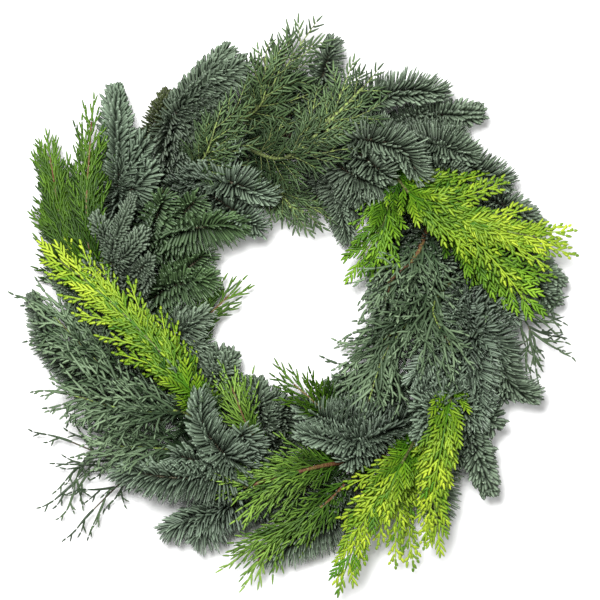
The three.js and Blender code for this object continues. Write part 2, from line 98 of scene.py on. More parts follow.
# Heights that the ends of needles and leaves keep within, in a few rounds of bending,
# and the least height of any of their faces
FLOOR_CLEARANCE = 1.5
OVER_SOLIDS = 6
HIGHEST = CAD_BOX[1][2] / MM + OVER_SOLIDS
BENDING_ROUNDS = 3
TABLE_GAP = 0.4

# A line's direction is taken this far to both sides; a shoot's line has this many points
TANGENT_STEP = 2
TWIG_POINTS = 16
NEARLY_ZERO = 1e-6

# A spray's materials, by number, and the tone between its darkest and palest
LEAF, STEM = 0, 1
MIDDLE_TONE = 0.5

# Each spray: its seat as clamp (0 at the top, numbered clockwise) and slot (0 nearest the
# hole), its layer in the pile, the plan points that its axis passes after the clamp, and
# its side shoots as (place along the axis from 0 to 1, x and y of the tip). Fans are
# finer shoots, written the same way. Tint and bark are given where they aren't the
# kind's own. On a fir spray, needle is the needles' length, turn in degrees is how far
# their sunny side leans from straight up to the left of the axis, and a plain spray has
# no side twigs. On the others, ripe makes the fans yellower, sparse under 1 sets the
# branchlets wider apart and over 1 closer, slender makes each frond narrower, and
# stem_tip is a bold stem's radius at its tip.
SPRAYS = {
    "fir_01": dict(
        seat=(0, 4), layer=2, path=[(24, 214), (41, 270)],
        shoots=[(0.3, -14, 236)], needle=24, turn=-50,
    ),
    "fir_02": dict(
        seat=(0, 3), layer=4, path=[(66, 197), (110, 210), (159, 207)],
        needle=26, turn=60, plain=True,
    ),
    "fir_03": dict(
        seat=(0, 2), layer=5.2, path=[(55, 163), (105, 150), (131, 112)],
        shoots=[(0.35, 98, 118), (0.22, 96, 172)], needle=28, turn=70, plain=True,
    ),
    "fir_04": dict(
        seat=(0, 1), layer=3, path=[(50, 130), (110, 104)],
        shoots=[(0.4, 74, 92), (0.15, 60, 150)], needle=25, turn=-60, plain=True,
    ),
    "fir_05": dict(
        seat=(0, 0), layer=1.6, path=[(38, 114), (57, 50)],
        shoots=[(0.5, 70, 78), (0.35, 22, 84)], needle=21, turn=-80,
    ),
    "fir_06": dict(seat=(1, 4), layer=2, path=[(128, 184), (196, 190)], shoots=[(0.15, 142, 196)], needle=24),
    "fir_07": dict(
        seat=(1, 3), layer=3.2, path=[(130, 160), (190, 142)],
        shoots=[(0.4, 224, 113), (0.15, 176, 120), (0.2, 178, 166)], turn=60, plain=True,
    ),
    "gold_1": dict(
        seat=(1, 2), layer=6, path=[(118, 101), (170, 78), (262, 57)],
        fans=[
            (0.34, 175, 112), (0.42, 212, 116), (0.55, 232, 88), (0.4, 192, 30), (0.52, 226, 6),
            (0.62, 254, 32), (0.74, 248, 68), (0.7, 280, 68), (0.66, 281, 44), (0.1, 116, 82),
            (0.12, 142, 110), (0.26, 143, 110), (0.24, 160, 126), (0.3, 192, 124),
        ],
        slender=0.8,
    ),
    "gold_2": dict(
        seat=(1, 0), layer=4.6, path=[(92, 88), (58, 28)],
        fans=[(0.3, 66, 90), (0.4, 60, 74), (0.5, 62, 56), (0.5, 98, 30), (0.62, 76, 22)], tint="fresh",
    ),
    "fir_08": dict(seat=(2, 4), layer=2.4, path=[(194, 103), (250, 73)]),
    "fir_09": dict(seat=(2, 3), layer=1.5, path=[(205, 60), (274, 12)], shoots=[(0.66, 264, -12)]),
    "gold_3": dict(
        seat=(2, 2), layer=4.2, path=[(178, 52), (242, -8)],
        fans=[(0.3, 186, 4), (0.42, 210, -2), (0.55, 258, 22)], tint="fresh",
    ),
    "blue_1": dict(
        seat=(2, 1), layer=3.4, path=[(122, 45), (96, 20), (88, -16)],
        fans=[(0.35, 86, 16), (0.5, 118, -10), (0.6, 79, -14), (0.3, 152, 22), (0.4, 142, -4)],
        bark="red_brown_stems", stem_tip=2.2,
    ),
    "fir_10": dict(
        seat=(2, 0), layer=1.6, path=[(106, 58), (77, -6)],
        shoots=[(0.65, 90, -56), (0.5, 116, -36), (0.3, 158, 24)],
    ),
    "blue_2": dict(
        seat=(3, 4), layer=2.6, path=[(226, -12), (237, -36), (214, -56)],
        shoots=[(0.62, 250, -20)], fans=[(0.75, 243, -44), (0.85, 226, -66)],
        sparse=0.45, tint="dim", bark="fir_bark",
    ),
    "fir_11": dict(seat=(3, 3), layer=3, path=[(200, -42), (217, -85), (250, -101)], turn=60),
    "fir_12": dict(
        seat=(3, 2), layer=4, path=[(182, -45), (182, -132)],
        shoots=[(0.2, 138, -66), (0.4, 112, -88)], turn=125, tint="pale",
    ),
    "blue_3": dict(
        seat=(3, 1), layer=5, path=[(138, -8), (160, -58)],
        fans=[(0.3, 176, -22), (0.4, 112, -40), (0.6, 140, -72)],
    ),
    "blue_4": dict(
        seat=(3, 0), layer=3.4, path=[(132, -2), (92, -50), (68, -118)],
        shoots=[(0.5, 61, -60)],
        fans=[
            (0.36, 76, -30), (0.45, 64, -50), (0.6, 46, -80), (0.7, 44, -94), (0.8, 54, -112),
            (0.62, 102, -92), (0.3, 120, -60),
        ],
    ),
    "fir_13": dict(
        seat=(4, 4), layer=2.6, path=[(174, -122), (198, -200)],
        shoots=[(0.45, 207, -134), (0.2, 217, -106)],
    ),
    "gold_4": dict(
        seat=(4, 2), layer=6, path=[(150, -116), (138, -190), (144, -246)],
        fans=[
            (0.14, 160, -184), (0.3, 144, -212), (0.45, 128, -248), (0.24, 112, -226),
            (0.14, 118, -150), (0.08, 108, -170), (0.14, 104, -190), (0.2, 100, -212),
        ],
        ripe=0.28, slender=0.8,
    ),
    "fir_14": dict(
        seat=(4, 1), layer=4.6, path=[(150, -98), (118, -144)], shoots=[(0.15, 126, -90)], tint="pale",
    ),
    "fir_15": dict(seat=(5, 4), layer=2, path=[(143, -168), (142, -236)], turn=100),
    "gold_5": dict(
        seat=(5, 3), layer=5, path=[(100, -172), (68, -222), (43, -290)],
        fans=[
            (0.1, 90, -126), (0.14, 78, -146), (0.24, 51, -190), (0.36, 46, -226), (0.5, 45, -254),
            (0.6, 62, -268), (0.3, 100, -270), (0.24, 119, -272), (0.42, 81, -248), (0.15, 112, -200),
        ],
        ripe=0.36, slender=0.75,
    ),
    "fir_16": dict(
        seat=(5, 1), layer=3.6, path=[(62, -140), (-4, -132)],
        shoots=[(0.6, -4, -102), (0.4, 34, -108), (0.35, 42, -168)], turn=-50, tint="pale", plain=True,
    ),
    "fir_17": dict(seat=(5, 0), layer=1.6, path=[(90, -104), (32, -82)], shoots=[(0.7, 20, -92)]),
    "fir_18": dict(
        seat=(6, 4), layer=1.5, path=[(48, -218), (-36, -264)],
        shoots=[(0.4, -24, -206)], needle=27, turn=60,
    ),
    "green_1": dict(
        seat=(6, 3), layer=3, path=[(30, -205), (-22, -238), (-48, -281)],
        fans=[(0.3, -20, -218), (0.5, -58, -250), (0.6, -64, -264), (0.4, 10, -246), (0.6, -24, -264)],
    ),
    "green_2": dict(
        seat=(6, 2), layer=5, path=[(15, -168), (-66, -190)],
        fans=[
            (0.25, -6, -146), (0.35, -34, -156), (0.45, -58, -166), (0.6, -64, -178),
            (0.35, -12, -206), (0.5, -38, -212), (0.62, -54, -214),
        ],
        stem_tip=1.9,
    ),
    "green_3": dict(
        seat=(6, 0), layer=5.4, path=[(30, -112), (-12, -74)],
        fans=[(0.35, -4, -100), (0.5, 20, -86)], tint="deep",
    ),
    "fir_19": dict(
        seat=(7, 4), layer=2, path=[(-64, -208), (-140, -235)], shoots=[(0.55, -108, -248)],
        turn=125, tint="pale",
    ),
    "fir_20": dict(
        seat=(7, 3), layer=4, path=[(-68, -178), (-130, -177), (-188, -168)],
        shoots=[(0.3, -128, -152)], needle=30, turn=60, tint="pale", plain=True,
    ),
    "fir_21": dict(
        seat=(7, 2), layer=5.4, path=[(-62, -158), (-90, -128), (-97, -84)],
        shoots=[(0.4, -56, -122), (0.3, -98, -160)], needle=28, turn=-50, tint="pale", plain=True,
    ),
    "green_4": dict(
        seat=(7, 1), layer=3.4, path=[(-42, -136), (-70, -73)],
        fans=[(0.35, -64, -98), (0.5, -76, -84), (0.5, -48, -84)],
    ),
    "fir_22": dict(seat=(7, 0), layer=1.6, path=[(-32, -125), (-42, -74)]),
    "blue_5": dict(
        seat=(8, 4), layer=1.2, path=[(-150, -172), (-196, -156), (-240, -138)],
        shoots=[(0.55, -215, -222)], fans=[(0.62, -232, -188), (0.8, -230, -204)],
        sparse=0.4, tint="dim", bark="fir_bark",
    ),
    "blue_6": dict(
        seat=(8, 3), layer=4.2, path=[(-125, -150), (-196, -144)],
        fans=[(0.3, -150, -128), (0.5, -186, -124), (0.5, -182, -162), (0.7, -200, -150)],
    ),
    "blue_7": dict(
        seat=(8, 2), layer=5.2, path=[(-110, -112), (-152, -112), (-240, -90)],
        fans=[
            (0.35, -166, -84), (0.5, -192, -68), (0.62, -216, -68), (0.4, -176, -126),
            (0.55, -200, -118), (0.7, -218, -104),
        ],
    ),
    "gold_6": dict(
        seat=(8, 1), layer=6.2, path=[(-94, -106), (-126, -60), (-184, 0), (-247, 50)],
        fans=[
            (0.84, -229, 62), (0.72, -213, 54), (0.62, -194, 38), (0.5, -165, 20), (0.4, -135, -8),
            (0.32, -124, -20), (0.78, -246, 28), (0.66, -227, 6), (0.56, -218, -12), (0.46, -192, -34),
            (0.38, -180, -50), (0.3, -158, -64), (0.22, -142, -78), (0.25, -108, -38), (0.16, -92, -60),
        ],
        ripe=-0.1, slender=0.68,
    ),
    "fir_23": dict(seat=(8, 0), layer=1.8, path=[(-82, -108), (-62, -46)], shoots=[(0.5, -76, -42)]),
    "fir_24": dict(
        seat=(9, 4), layer=2, path=[(-200, -94), (-247, -48), (-268, 14)],
        needle=20, turn=30, plain=True,
    ),
    "blue_8": dict(
        seat=(9, 3), layer=3.6, path=[(-196, -64), (-226, -32), (-254, -4)],
        fans=[(0.4, -236, -50), (0.55, -250, -26), (0.5, -212, -16), (0.65, -240, 8)],
    ),
    "fir_25": dict(
        seat=(9, 2), layer=3, path=[(-180, -40), (-200, 4), (-196, 46)],
        shoots=[(0.75, -248, 26)], needle=16,
    ),
    "fir_26": dict(seat=(9, 1), layer=2.8, path=[(-128, -48), (-83, -6)], turn=-60),
    "green_5": dict(
        seat=(9, 0), layer=1.4, path=[(-104, -34), (-56, 16)],
        fans=[(0.6, -78, 12)], tint="deep",
    ),
    "green_6": dict(
        seat=(10, 4), layer=2.8, path=[(-228, 50), (-250, 159)],
        fans=[
            (0.1, -250, 30), (0.18, -254, 54), (0.3, -256, 84), (0.42, -254, 104), (0.65, -257, 140),
            (0.5, -230, 126), (0.2, -240, 84), (0.3, -234, 108), (0.45, -242, 126),
        ],
        sparse=1.4, tint="deep",
    ),
    "green_7": dict(
        seat=(10, 3), layer=5, path=[(-206, 55), (-203, 193)],
        fans=[
            (0.25, -226, 116), (0.62, -213, 170), (0.5, -196, 158), (0.35, -192, 138), (0.2, -188, 108),
            (0.1, -216, 92), (0.3, -218, 136),
        ],
        tint="deep",
    ),
    "fir_27": dict(seat=(10, 2), layer=5.6, path=[(-182, 40), (-158, 112)], needle=16),
    "fir_28": dict(
        seat=(10, 0), layer=2.4, path=[(-132, 10), (-73, 24)], shoots=[(0.35, -82, 56)],
        needle=30, turn=-60, tint="dark", plain=True,
    ),
    "fir_29": dict(seat=(11, 4), layer=3, path=[(-178, 112), (-181, 220)], needle=27, tint="pale"),
    "fir_30": dict(
        seat=(11, 0), layer=3.6, path=[(-118, 68), (-42, 78)],
        shoots=[(0.3, -92, 108), (0.1, -128, 112)], needle=30, turn=-70, tint="dark", plain=True,
    ),
    "fir_31": dict(seat=(12, 4), layer=2, path=[(-148, 158), (-124, 219)], needle=18, tint="olive"),
    "fir_32": dict(
        seat=(12, 3), layer=4, path=[(-124, 178), (-62, 258)],
        shoots=[(0.55, -46, 243), (0.35, -62, 198)], needle=26, turn=-50,
    ),
    "cedar_1": dict(
        seat=(12, 2), layer=5.6, path=[(-92, 140), (-72, 190)],
        fans=[
            (0.4, -88, 172), (0.4, -62, 156), (0.25, -98, 148), (0.35, -46, 168), (0.25, -56, 138),
            (0.5, -52, 200),
        ],
    ),
    "fir_33": dict(
        seat=(12, 1), layer=4.4, path=[(-86, 122), (-13, 99)],
        shoots=[(0.3, -26, 66), (0.15, -50, 158)], needle=27, turn=60, tint="pale", plain=True,
    ),
    "cedar_2": dict(
        seat=(13, 4), layer=4, path=[(-34, 196), (-28, 258)], shoots=[(0.5, 18, 274)],
        fans=[(0.5, -6, 254), (0.4, -44, 224), (0.35, -4, 232), (0.25, 10, 192), (0.3, 22, 210)],
    ),
    "cedar_3": dict(
        seat=(13, 2), layer=6, path=[(-12, 140), (34, 177), (79, 222)], stem_tip=1.4,
        fans=[(0.4, 52, 150), (0.5, 24, 204), (0.6, 78, 190), (0.3, -6, 186), (0.7, 54, 222)],
    ),
    "cedar_4": dict(
        seat=(13, 0), layer=3, path=[(-36, 128), (3, 88)],
        fans=[(0.4, -4, 130), (0.5, -22, 88), (0.6, 22, 78), (0.5, 32, 84), (0.7, 8, 76), (0.3, -34, 108)],
    ),
}

# Noble fir: needles leave the twig steeply in eight slowly turning ranks, gathered to its
# sunny side. At its tip, the nearer to it the higher tip_power is, they lean forward and
# are shorter.
FIR = dict(
    length=27, length_spread=0.09, width=3.9, thickness=1.7, per_mm=3.3, tone_spread=0.18,
    rank_angle=math.radians(135.15), rank_spread=0.1, gather=0.3, angle=82, angle_spread=4,
    tip_power=6, tip_lean=0.6, tip_shorter=0.35, face_tilt=0.8,
)

# What the direction of a needle's end is made of, and how far it strays
NEEDLE_END = dict(start=0.5, upward=0.4, sunny=0.35, forward=0.16, stray=0.05)

# Side twigs of the fir sprays: where they start and end along the axis, their spacing,
# their angle, their share of the length ahead, how much they lean forward, how far
# they lie below the spray's layer, and how near the wreath's edges they go
SIDE_TWIGS = dict(
    first=0.16, last=0.72, pitch=15, angle=46, angle_spread=6, share=0.6, longest=54, shortest=24,
    length_spread=0.1, lean=0.25, least_drop=0.5, most_drop=1.6, inner=98, outer=222,
)

# The foliage of each other kind: its orders of branchlets as (spacing on either hand,
# longest, shortest, angle, width), those of its fans where they differ, their thickness
# as a share of the width, how far they wander, and the material of the first order
FRONDS = {
    "gold": dict(
        orders=[(14, 50, 20, 31, 2.6), (5.4, 14, 8, 31, 3.5)],
        fan_orders=[(10.5, 27, 9, 32, 2.9), (6, 14, 8, 33, 3.9)], flat=0.4, wander=0.04, first=LEAF,
    ),
    "green": dict(orders=[(12.5, 54, 20, 22, 2.7), (10, 21, 10, 21, 2.6)], flat=0.5, wander=0.1, first=LEAF),
    "cedar": dict(orders=[(12, 40, 20, 40, 1.4), (5.4, 29, 15, 36, 2.8)], flat=0.6, wander=0.34, first=STEM),
    "blue": dict(
        orders=[(15, 54, 26, 28, 4), (16, 26, 15, 34, 3.4), (17, 11, 7, 38, 2.9)],
        flat=0.9, wander=0.42, first=LEAF,
    ),
}

# The longest branchlet as a share of its stem or fan, and a sparse spray's share of width
AXIS_SPREAD = 0.42
FAN_SPREAD = 0.29
SPARSE_WIDTH = 0.8

# Branchlets of every order sit on two hands. How they shorten towards the tip, how they
# tilt, and how far they bend forward and hang
HANDS = 2
BRANCHLET = dict(shortening=0.8, angle_spread=4, tilt=0.02, tilt_spread=0.1, forward=0.5, hang=0.06)

# Those on a shoot: at least how many, how far into its pitch each sits, how they crowd
# towards the shoot's base, the angle of the last, and how much they differ
FIRST_ORDER = dict(least=4, seat=0.9, crowding=1.15, end_angle=3, length_spread=0.12, tone_spread=0.14)

# Those on another branchlet: also how near its end the last sits, how long they are at
# most as a share of it, and how much younger than it
NEXT_ORDER = dict(
    least=2, seat=0.97, end_angle=2, share=0.55, younger=0.35, length_spread=0.1, tone_spread=0.09,
)

# The bare length at the foot of a stem, shoot, side twig or fan, and its radii
FIR_AXIS = dict(bare=STEM_TAIL + 4, foot=STEM_RADIUS, tip=1.2)
FIR_SHOOT = dict(bare=6, foot=2, tip=1.2)
FIR_TWIG = dict(bare=4, foot=1.8, tip=1.2)
FROND_AXIS = dict(bare=STEM_TAIL + STEM_STRAIGHT, foot=STEM_RADIUS, tip=0.9)
FROND_SHOOT = dict(bare=6, foot=1.5, tip=0.8)
FAN = dict(bare=4, foot=1.3, tip=0.7)
STEM_TAPER = 3

# How young foliage is at the foot and tip of a stem and a shoot, from 0 to 1, and of a
# fan by the place on the axis that it leaves from
AXIS_AGES = (0, 0.9)
SHOOT_AGES = (0.2, 0.95)
FAN_FOOT_GAIN = 0.6
FAN_TIP_LEAST = 0.25
FAN_TIP_GAIN = 0.8


# ---- Small shapes made once ----

class Shape:
    """A closed slim shape along Z from 0 to 1, one unit in half width, in triangles."""

    def __init__(self, sides, bands, pointed, taper=0.0):
        bm = bmesh.new()
        bmesh.ops.create_uvsphere(bm, u_segments=sides, v_segments=bands, radius=1)
        for vertex in bm.verts:
            around = math.hypot(vertex.co.x, vertex.co.y)
            fuller = around ** (pointed - 1) if around > NEARLY_ZERO else 1
            fuller *= 1 - taper * (vertex.co.z + 1) / 2
            vertex.co = (vertex.co.x * fuller, vertex.co.y * fuller, (vertex.co.z + 1) / 2)
        bmesh.ops.triangulate(bm, faces=bm.faces)
        bm.verts.index_update()
        self.coords = np.array([vertex.co[:] for vertex in bm.verts])
        self.faces = np.array([[vertex.index for vertex in face.verts] for face in bm.faces])
        bm.free()


NEEDLE_SHAPE = Shape(sides=4, bands=4, pointed=0.3)
LEAF_SHAPE = Shape(sides=4, bands=4, pointed=0.5, taper=0.5)
TWIGLET_SHAPE = Shape(sides=4, bands=6, pointed=0.3, taper=0.4)
TWIG_SHAPE = Shape(sides=8, bands=20, pointed=0.12)


# ---- Lines that the sprays follow ----

def hands(numbers):
    """Left and right in turn, as -1 and 1."""
    return np.where(numbers % 2, 1.0, -1.0)


def unit(vectors):
    return vectors / np.maximum(np.linalg.norm(vectors, axis=-1, keepdims=True), NEARLY_ZERO)


class Line:
    """A line through space, read by the distance from its start."""

    def __init__(self, points):
        self.points = np.array(points, dtype=float)
        steps = np.linalg.norm(np.diff(self.points, axis=0), axis=1)
        self.marks = np.concatenate([[0], np.cumsum(steps)])
        self.length = self.marks[-1]

    def at(self, distances):
        return np.stack([np.interp(distances, self.marks, axis) for axis in self.points.T], axis=-1)

    def frames(self, distances):
        """Points, and there the directions forward, to the right and upward."""
        forward = unit(self.at(distances + TANGENT_STEP) - self.at(distances - TANGENT_STEP))
        right = unit(np.cross(forward, UP))
        return self.at(distances), forward, right, np.cross(right, forward)

    def frame(self, place):
        """The point at that share of the length, and the directions forward and right."""
        return [part[0] for part in self.frames(np.array([place * self.length]))][:3]


def catmull_rom(points, steps=14):
    """The centripetal Catmull-Rom line through the points."""
    ends = [2 * points[0] - points[1], *points, 2 * points[-1] - points[-2]]
    line = [points[0]]
    for before, start, end, after in zip(ends, ends[1:], ends[2:], ends[3:]):
        gap_0 = np.linalg.norm(start - before) ** 0.5
        gap_1 = np.linalg.norm(end - start) ** 0.5
        gap_2 = np.linalg.norm(after - end) ** 0.5
        leave = (start - before) / gap_0 - (end - before) / (gap_0 + gap_1) + (end - start) / gap_1
        arrive = (end - start) / gap_1 - (after - start) / (gap_1 + gap_2) + (after - end) / gap_2
        for step in range(1, steps + 1):
            t = step / steps
            bulge = leave * gap_1 * (t - 2 * t * t + t ** 3) + arrive * gap_1 * (t ** 3 - t * t)
            line.append(start + (end - start) * (3 * t * t - 2 * t ** 3) + bulge)
    return line


def height_at(x, y, travel, layer):
    """The pile's height over a plan point, for a stem of that layer after that travel."""
    rise = min(max(travel / RISE_LENGTH, 0), 1)
    ease = rise * rise * (3 - 2 * rise)
    off_ring = (math.hypot(x, y) - RING_RADIUS) / CROWN_HALF_WIDTH
    crown = max(1 - CROWN_DROP * off_ring * off_ring, CROWN_LEAST)
    return STEM_HEIGHT + layer * LAYER_HEIGHT * ease * crown


def short_of(tip, before, reach):
    """The point that far short of the tip, because the last needles reach on past it."""
    return tip - unit(tip - before) * reach


def spray_axis(spray):
    """The line of a spray's stem, from its slot in the clamp to its tip."""
    clamp, slot = spray["seat"]
    angle = math.pi / 2 - clamp * 2 * math.pi / CLAMP_COUNT
    radial = np.array([math.cos(angle), math.sin(angle), 0])
    clockwise = np.cross(radial, UP)
    seat = radial * (RING_RADIUS + (slot - MIDDLE_SLOT) * SLOT_PITCH)
    plan = [seat - clockwise * STEM_TAIL, seat, seat + clockwise * STEM_STRAIGHT]
    plan += [np.array([x, y, 0.0]) for x, y in spray["path"]]
    plan[-1] = short_of(plan[-1], plan[-2], TIP_REACH)
    line = []
    for point in catmull_rom(plan):
        offset = point - seat
        past = np.linalg.norm(offset) - STEM_STRAIGHT if offset @ clockwise > 0 else 0
        x, y, _ = point
        line.append([x, y, height_at(x, y, past, spray["layer"])])
    return Line(line)


def curved_twig(root, bend, tip):
    """A line from root to tip that leaves towards bend."""
    shares = np.linspace(0, 1, TWIG_POINTS)[:, None]
    return Line((1 - shares) ** 2 * root + 2 * shares * (1 - shares) * bend + shares ** 2 * tip)


def shoot_axis(axis, shoot, layer):
    """A side shoot's line, at the whole height of its layer."""
    place, x, y = shoot
    root, forward, _ = axis.frame(place)
    tip = short_of(np.array([x, y, height_at(x, y, RISE_LENGTH, layer)]), root, TIP_REACH)
    return curved_twig(root, root + forward * np.linalg.norm(tip - root) * SHOOT_BEND, tip)


def fan_axis(axis, fan, layer):
    """A fan's line, which leaves close along the axis, the lower the nearer its foot."""
    place, x, y = fan
    root, forward, _ = axis.frame(place)
    height = height_at(x, y, RISE_LENGTH * place / FAN_FULL_HEIGHT, layer)
    tip = short_of(np.array([x, y, height]), root, FAN_TIP_REACH)
    return curved_twig(root, root + forward * np.linalg.norm(tip - root) * FAN_BEND, tip)


def side_twigs(axis, layer, chance):
    """Lines of a fir spray's side twigs, on alternate hands, within the wreath's edges."""
    first, last = SIDE_TWIGS["first"] * axis.length, SIDE_TWIGS["last"] * axis.length
    count = int((last - first) / SIDE_TWIGS["pitch"])
    lines = []
    for number in range(count + 1):
        along = first + (last - first) * number / max(count, 1)
        root, forward, right = axis.frame(along / axis.length)
        ahead = (axis.length - along) * SIDE_TWIGS["share"]
        length = min(max(ahead, SIDE_TWIGS["shortest"]), SIDE_TWIGS["longest"])
        length *= chance.normal(1, SIDE_TWIGS["length_spread"])
        spread = math.radians(chance.normal(SIDE_TWIGS["angle"], SIDE_TWIGS["angle_spread"]))
        out = forward * math.cos(spread) + right * (hands(number) * math.sin(spread))
        tip = root + unit(out + forward * SIDE_TWIGS["lean"]) * length
        drop = chance.uniform(SIDE_TWIGS["least_drop"], SIDE_TWIGS["most_drop"])
        tip[2] = height_at(tip[0], tip[1], along + length, layer - drop)
        if SIDE_TWIGS["inner"] < math.hypot(tip[0], tip[1]) < SIDE_TWIGS["outer"]:
            lines.append(curved_twig(root, root + out * length * TWIG_BEND, tip))
    return lines


# ---- Foliage: many slender bent rods at once ----

class Rods:
    """Rods by their roots, first and last directions, the way their broad side faces, sizes,
    tone (0 to 1, by chance) and youth (0 at the spray's base to 1 at its tips)."""

    def __init__(self, root, start, end, face, length, width, thickness, tone, youth):
        self.root = root
        self.start = unit(start)
        self.end = unit(end)
        self.face = face
        self.length = length
        self.width = np.broadcast_to(width, length.shape)
        self.thickness = np.broadcast_to(thickness, length.shape)
        self.tone = tone
        self.youth = youth
        self.keep_in_height()

    def keep_in_height(self):
        """Turns up the ends that would reach through the floor, and down those too high."""
        for _ in range(BENDING_ROUNDS):
            tip = self.root[:, 2] + self.length * (self.start[:, 2] + self.end[:, 2]) / 2
            short = (np.clip(tip, FLOOR_CLEARANCE, HIGHEST) - tip) / self.length
            self.start[:, 2] += short
            self.end[:, 2] += short
            self.start = unit(self.start)
            self.end = unit(self.end)

    def at(self, rods, shares):
        """Points and frames on the rods of those numbers, at shares of their lengths."""
        share = shares[:, None]
        start, end = self.start[rods], self.end[rods]
        way = start * (share - share * share / 2) + end * share * share / 2
        forward = unit(start * (1 - share) + end * share)
        face = self.face[rods]
        upward = unit(face - forward * np.sum(face * forward, axis=1, keepdims=True))
        point = self.root[rods] + way * self.length[rods][:, None]
        return point, forward, np.cross(forward, upward), upward


def add_object(name, data):
    thing = bpy.data.objects.new(name, data)
    bpy.context.scene.collection.objects.link(thing)
    return thing


class Build:
    """Collects the vertices, faces and attributes of one piece."""

    def __init__(self):
        self.vertices, self.faces, self.materials, self.count = [], [], [], 0
        self.attributes = {"tone": [], "youth": [], "under": [], "measure": []}

    def add(self, vertices, shape, material, **attributes):
        """Adds copies of the shape, of which vertices holds one row of points each."""
        copies = len(vertices)
        each = len(shape.coords)
        offsets = self.count + np.arange(copies)[:, None, None] * each
        self.faces.append((shape.faces[None] + offsets).reshape(-1, 3))
        self.vertices.append(vertices.reshape(-1, 3))
        self.materials.append(np.full(copies * len(shape.faces), material))
        self.count += copies * each
        for name, values in attributes.items():
            self.attributes[name].append(np.broadcast_to(values, (copies, each)).ravel())

    def add_rods(self, rods, shape, material=LEAF):
        """A copy of the shape along each rod, lifted where it would touch the table."""
        across, through, share = shape.coords.T
        copies = len(rods.length)
        numbers = np.repeat(np.arange(copies), len(share))
        point, _, right, upward = rods.at(numbers, np.tile(share, copies))
        wide = np.tile(across, copies) * rods.width[numbers] / 2
        thick = np.tile(through, copies) * rods.thickness[numbers] / 2
        vertices = (point + right * wide[:, None] + upward * thick[:, None]).reshape(copies, -1, 3)
        sunk = np.maximum(TABLE_GAP - vertices[:, :, 2].min(axis=1), 0)
        vertices[:, :, 2] += sunk[:, None]
        self.add(
            vertices, shape, material,
            tone=rods.tone[:, None], youth=rods.youth[:, None],
            under=(1 - through) / 2, measure=rods.length[:, None] * share,
        )

    def add_twig(self, line, foot, tip, material=STEM):
        """A round stem along a line, with those radii at its foot and tip."""
        across, through, share = TWIG_SHAPE.coords.T
        point, _, right, upward = line.frames(share * line.length)
        radius = tip + (foot - tip) * (1 - share) ** STEM_TAPER
        vertices = point + (right * across[:, None] + upward * through[:, None]) * radius[:, None]
        self.add(
            vertices[None], TWIG_SHAPE, material,
            tone=MIDDLE_TONE, youth=share, under=0, measure=share * line.length,
        )

    def finish(self, name, materials):
        """Makes the piece of this spray, in metres, in place of its solid."""
        mesh = bpy.data.meshes.new(f"{name}_spray")
        vertices = (np.concatenate(self.vertices) + RING_MIDDLE) * MM
        mesh.from_pydata(vertices, [], np.concatenate(self.faces))
        mesh.polygons.foreach_set("material_index", np.concatenate(self.materials).astype(np.int32))
        mesh.shade_smooth()
        for attribute, values in self.attributes.items():
            layer = mesh.attributes.new(attribute, "FLOAT", "POINT")
            layer.data.foreach_set("value", np.concatenate(values).astype(np.float32))
        for material in materials:
            mesh.materials.append(material)
        piece = add_object(f"{name}_spray", mesh)
        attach(piece, "root")
        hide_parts(name)


def fir_needles(line, bare, spray, chance):
    """Needles in slowly turning ranks all round a twig, bent upward and to its sunny side."""
    count = int((line.length - bare) * FIR["per_mm"])
    share = (np.arange(count) + chance.random(count)) / count
    point, forward, right, upward = line.frames(bare + (line.length - bare) * share)
    turn = math.radians(spray.get("turn", 0))
    sunny = upward * math.cos(turn) - right * math.sin(turn)
    flank = np.cross(forward, sunny)
    around = np.arange(count) * FIR["rank_angle"] + chance.normal(0, FIR["rank_spread"], count)
    around = around - FIR["gather"] * np.sin(around)
    outward = sunny * np.cos(around)[:, None] + flank * np.sin(around)[:, None]
    at_tip = share ** FIR["tip_power"]
    angle = chance.normal(FIR["angle"], FIR["angle_spread"], count) * (1 - FIR["tip_lean"] * at_tip)
    spread = np.radians(angle)[:, None]
    start = forward * np.cos(spread) + outward * np.sin(spread)
    end = start * NEEDLE_END["start"] + upward * NEEDLE_END["upward"] + sunny * NEEDLE_END["sunny"]
    end = end + forward * NEEDLE_END["forward"] + chance.normal(0, NEEDLE_END["stray"], (count, 3))
    length = spray.get("needle", FIR["length"]) * chance.normal(1, FIR["length_spread"], count)
    length = length * (1 - FIR["tip_shorter"] * at_tip)
    face = sunny - forward * FIR["face_tilt"]
    tone = np.clip(chance.normal(MIDDLE_TONE, FIR["tone_spread"], count), 0, 1)
    return Rods(point, start, end, face, length, FIR["width"], FIR["thickness"], tone, share)


def shortening(share, longest, shortest):
    """The lengths of branchlets at those shares of what bears them."""
    return shortest + (longest - shortest) * np.clip(1 - share, 0, 1) ** BRANCHLET["shortening"]


def side_rods(seats, numbers, angle, length, width, style, tone, youth, chance):
    """Branchlets that leave their seats at an angle to either hand, then bend forward again."""
    point, forward, right, upward = seats
    count = len(length)
    spread = np.radians(chance.normal(angle, BRANCHLET["angle_spread"], count))[:, None]
    tilt = chance.normal(BRANCHLET["tilt"], BRANCHLET["tilt_spread"], count)[:, None]
    sideways = np.sin(spread) * hands(numbers)[:, None]
    start = forward * np.cos(spread) + right * sideways + upward * tilt
    stray = chance.normal(0, style["wander"], (count, 3))
    end = start + forward * BRANCHLET["forward"] + stray - UP * BRANCHLET["hang"]
    thickness = width * style["flat"]
    return Rods(point, start, end, upward, length, width, thickness, np.clip(tone, 0, 1), youth)


